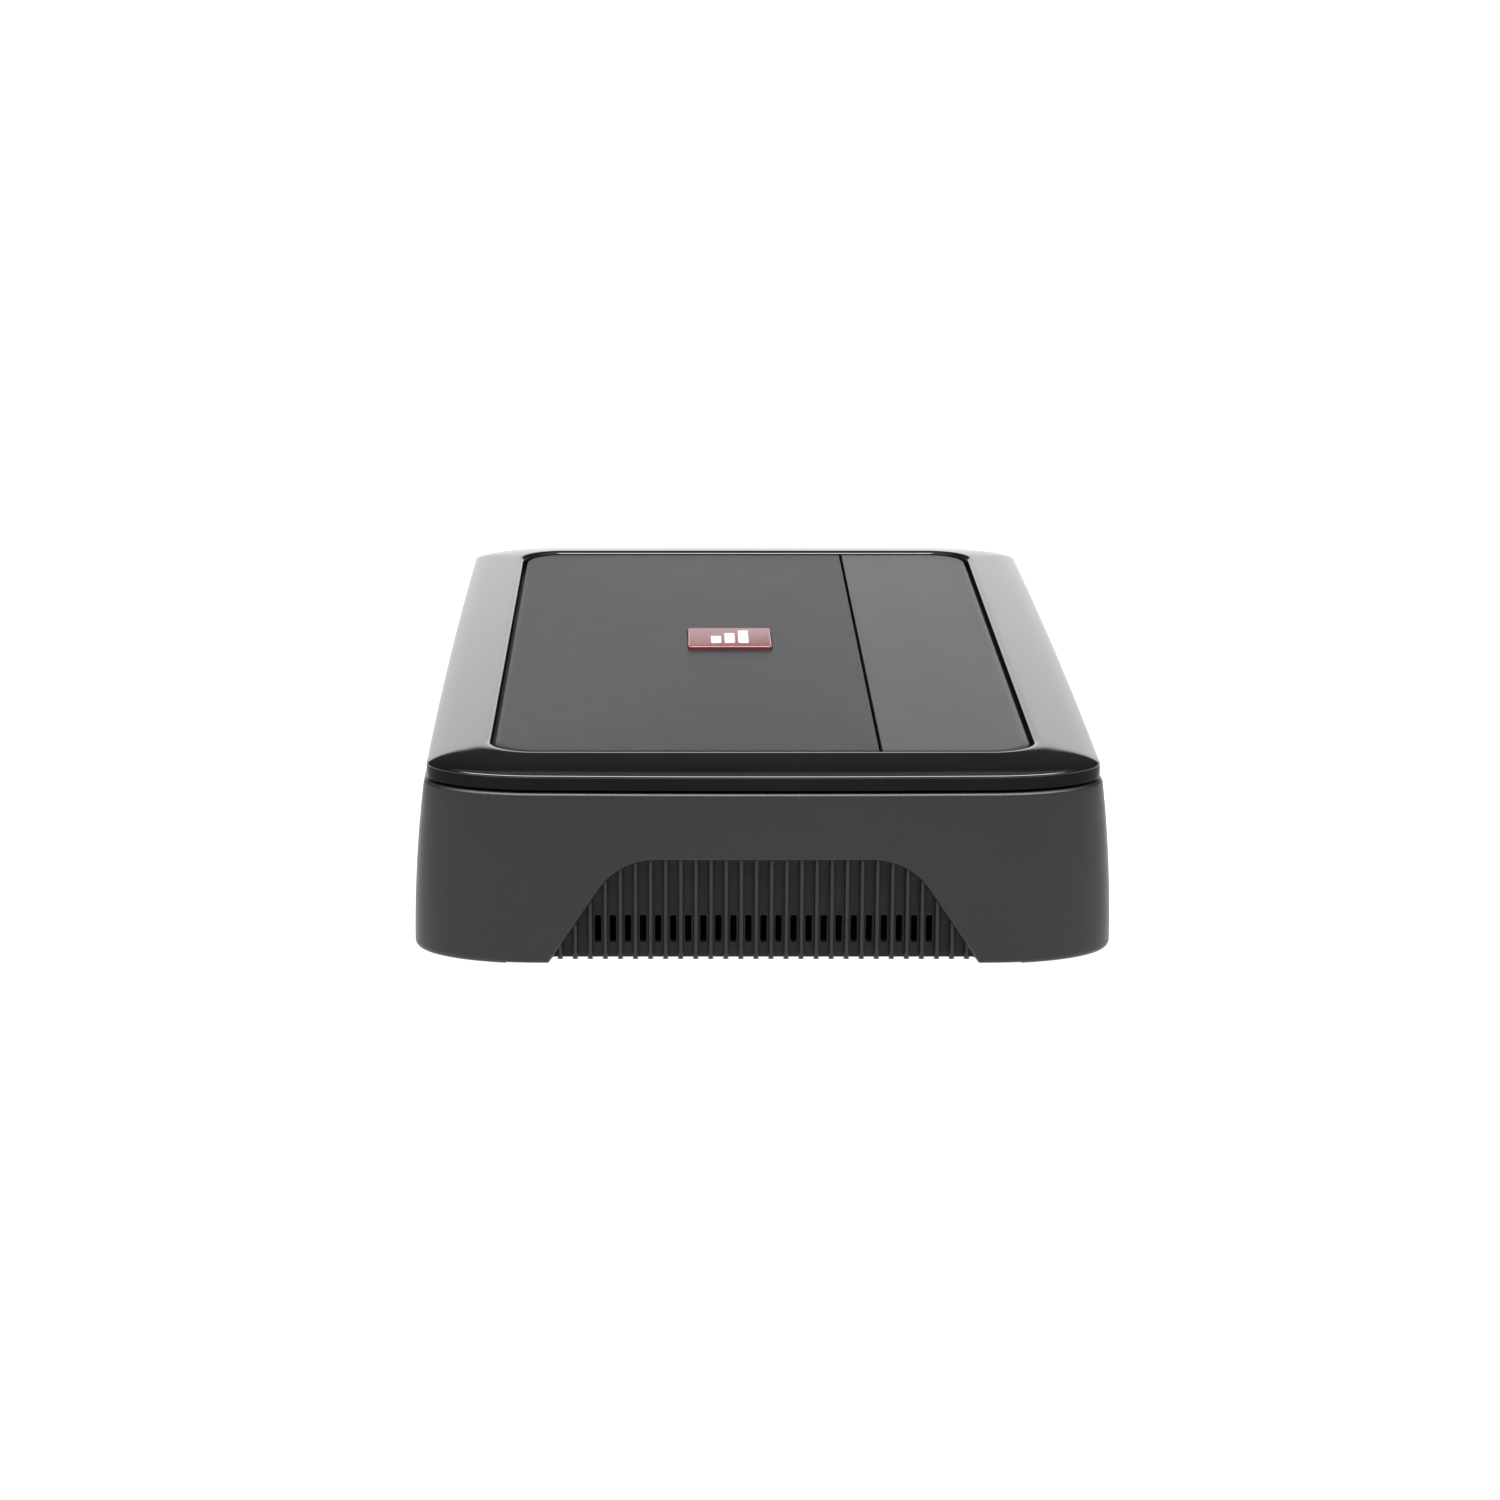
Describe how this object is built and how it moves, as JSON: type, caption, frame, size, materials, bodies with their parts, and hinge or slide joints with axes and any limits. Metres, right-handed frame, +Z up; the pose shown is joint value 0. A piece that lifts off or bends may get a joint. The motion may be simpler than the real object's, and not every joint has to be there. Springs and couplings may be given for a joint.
{
  "type": "car audio power amplifier",
  "caption": "Low car audio amplifier: ribbed cast housing with arched vents, glossy trim frame and lift-off plates over screw terminals, fuses, knobs and switches.",
  "frame": {"origin": "centre of the plane that the four feet stand on", "axes": "+X across the amplifier towards its connections, +Y along it, +Z up"},
  "size_m": [0.2114, 0.3318, 0.0609],
  "materials": {
    "cast_body": "satin dark grey powder coat on a casting",
    "gloss_trim": "piano black, polished",
    "top_plate": "satin charcoal, fine brushed grain",
    "badge_red": "clear domed over dark red",
    "sheet_steel": "matt black coat",
    "fastener": "zinc plated",
    "black_plastic": "fine moulded texture",
    "switch_slider": "smooth moulded",
    "light_pipe": "clear moulded",
    "plated_clamp": "nickel plated",
    "gold_plate": "gold plated",
    "fuse_plastic": "translucent green",
    "circuit_board": "solder mask",
    "capacitor_sleeve": "shrunk sleeve",
    "winding": "enamelled copper wire",
    "spring_steel": "bright spring steel"
  },
  "bodies": {
    "housing": {"bass_pot": "fastener", "board_screw_1": "fastener", "board_screw_2": "fastener", "board_screw_3": "fastener", "board_screw_4": "fastener", "bottom_cover": "sheet_steel", "bottom_cover_screw_1": "fastener", "bottom_cover_screw_2": "fastener", "bottom_cover_screw_3": "fastener", "bottom_cover_screw_4": "fastener", "capacitor_1": "capacitor_sleeve", "capacitor_2": "capacitor_sleeve", "capacitor_3": "capacitor_sleeve", "circuit_board": "circuit_board", "clamp_bar_screw_1": "fastener", "clamp_bar_screw_2": "fastener", "connection_tray": "black_plastic", "control_board": "circuit_board", "crossover_pot": "fastener", "fuse_holder": "black_plastic", "heatsink_body": "cast_body", "input_switch": "black_plastic", "left_signal_socket": "gold_plate", "level_pot": "fastener", "output_inductor": "winding", "phase_switch": "black_plastic", "power_light_pipe": "light_pipe", "power_terminal_block": "black_plastic", "power_transformer": "winding", "power_transistor_1": "black_plastic", "power_transistor_2": "black_plastic", "power_transistor_3": "black_plastic", "protect_light_pipe": "light_pipe", "remote_control_socket": "black_plastic", "right_signal_socket": "gold_plate", "signal_socket_block": "black_plastic", "speaker_terminal_block": "black_plastic", "terminal_clamp_1": "plated_clamp", "terminal_clamp_2": "plated_clamp", "terminal_clamp_3": "plated_clamp", "terminal_clamp_4": "plated_clamp", "terminal_clamp_5": "plated_clamp", "transistor_clamp_bar": "spring_steel", "trim_frame": "gloss_trim"},
    "main_top_plate": {"main_top_plate": "top_plate", "badge_plate": "badge_red"},
    "connection_cover": {"connection_cover": "top_plate"},
    "level_knob": {"level_knob": "black_plastic"},
    "crossover_knob": {"crossover_knob": "black_plastic"},
    "bass_knob": {"bass_knob": "black_plastic"},
    "input_slider": {"input_slider": "switch_slider"},
    "phase_slider": {"phase_slider": "switch_slider"},
    "fuse_1": {"fuse_1": "fuse_plastic"},
    "fuse_2": {"fuse_2": "fuse_plastic"},
    "fuse_3": {"fuse_3": "fuse_plastic"},
    "terminal_screw_1": {"terminal_screw_1": "fastener"},
    "terminal_screw_2": {"terminal_screw_2": "fastener"},
    "terminal_screw_3": {"terminal_screw_3": "fastener"},
    "terminal_screw_4": {"terminal_screw_4": "fastener"},
    "terminal_screw_5": {"terminal_screw_5": "fastener"}
  },
  "joints": [
    {"name": "main_plate_lift", "type": "slide", "parent": "housing", "child": "main_top_plate", "axis": [0, 0, 1], "range_m": [0, 0.04]},
    {"name": "connection_cover_lift", "type": "slide", "parent": "housing", "child": "connection_cover", "axis": [0, 0, 1], "range_m": [0, 0.04]},
    {"name": "level_turn", "type": "hinge", "parent": "housing", "child": "level_knob", "pos_m": [0.064, 0.03, 0.0435], "axis": [0, 0, 1], "range_deg": [-140, 140]},
    {"name": "crossover_turn", "type": "hinge", "parent": "housing", "child": "crossover_knob", "pos_m": [0.064, 0.048, 0.0435], "axis": [0, 0, 1], "range_deg": [-140, 140]},
    {"name": "bass_turn", "type": "hinge", "parent": "housing", "child": "bass_knob", "pos_m": [0.064, 0.066, 0.0435], "axis": [0, 0, 1], "range_deg": [-140, 140]},
    {"name": "input_slide", "type": "slide", "parent": "housing", "child": "input_slider", "axis": [0, 1, 0], "range_m": [0, 0.003]},
    {"name": "phase_slide", "type": "slide", "parent": "housing", "child": "phase_slider", "axis": [0, 1, 0], "range_m": [0, 0.003]},
    {"name": "fuse_1_pull", "type": "slide", "parent": "housing", "child": "fuse_1", "axis": [0, 0, 1], "range_m": [0, 0.011]},
    {"name": "fuse_2_pull", "type": "slide", "parent": "housing", "child": "fuse_2", "axis": [0, 0, 1], "range_m": [0, 0.011]},
    {"name": "fuse_3_pull", "type": "slide", "parent": "housing", "child": "fuse_3", "axis": [0, 0, 1], "range_m": [0, 0.011]},
    {"name": "terminal_screw_1_raise", "type": "slide", "parent": "housing", "child": "terminal_screw_1", "axis": [0, 0, 1], "range_m": [0, 0.004]},
    {"name": "terminal_screw_2_raise", "type": "slide", "parent": "housing", "child": "terminal_screw_2", "axis": [0, 0, 1], "range_m": [0, 0.004]},
    {"name": "terminal_screw_3_raise", "type": "slide", "parent": "housing", "child": "terminal_screw_3", "axis": [0, 0, 1], "range_m": [0, 0.004]},
    {"name": "terminal_screw_4_raise", "type": "slide", "parent": "housing", "child": "terminal_screw_4", "axis": [0, 0, 1], "range_m": [0, 0.004]},
    {"name": "terminal_screw_5_raise", "type": "slide", "parent": "housing", "child": "terminal_screw_5", "axis": [0, 0, 1], "range_m": [0, 0.004]}
  ]
}
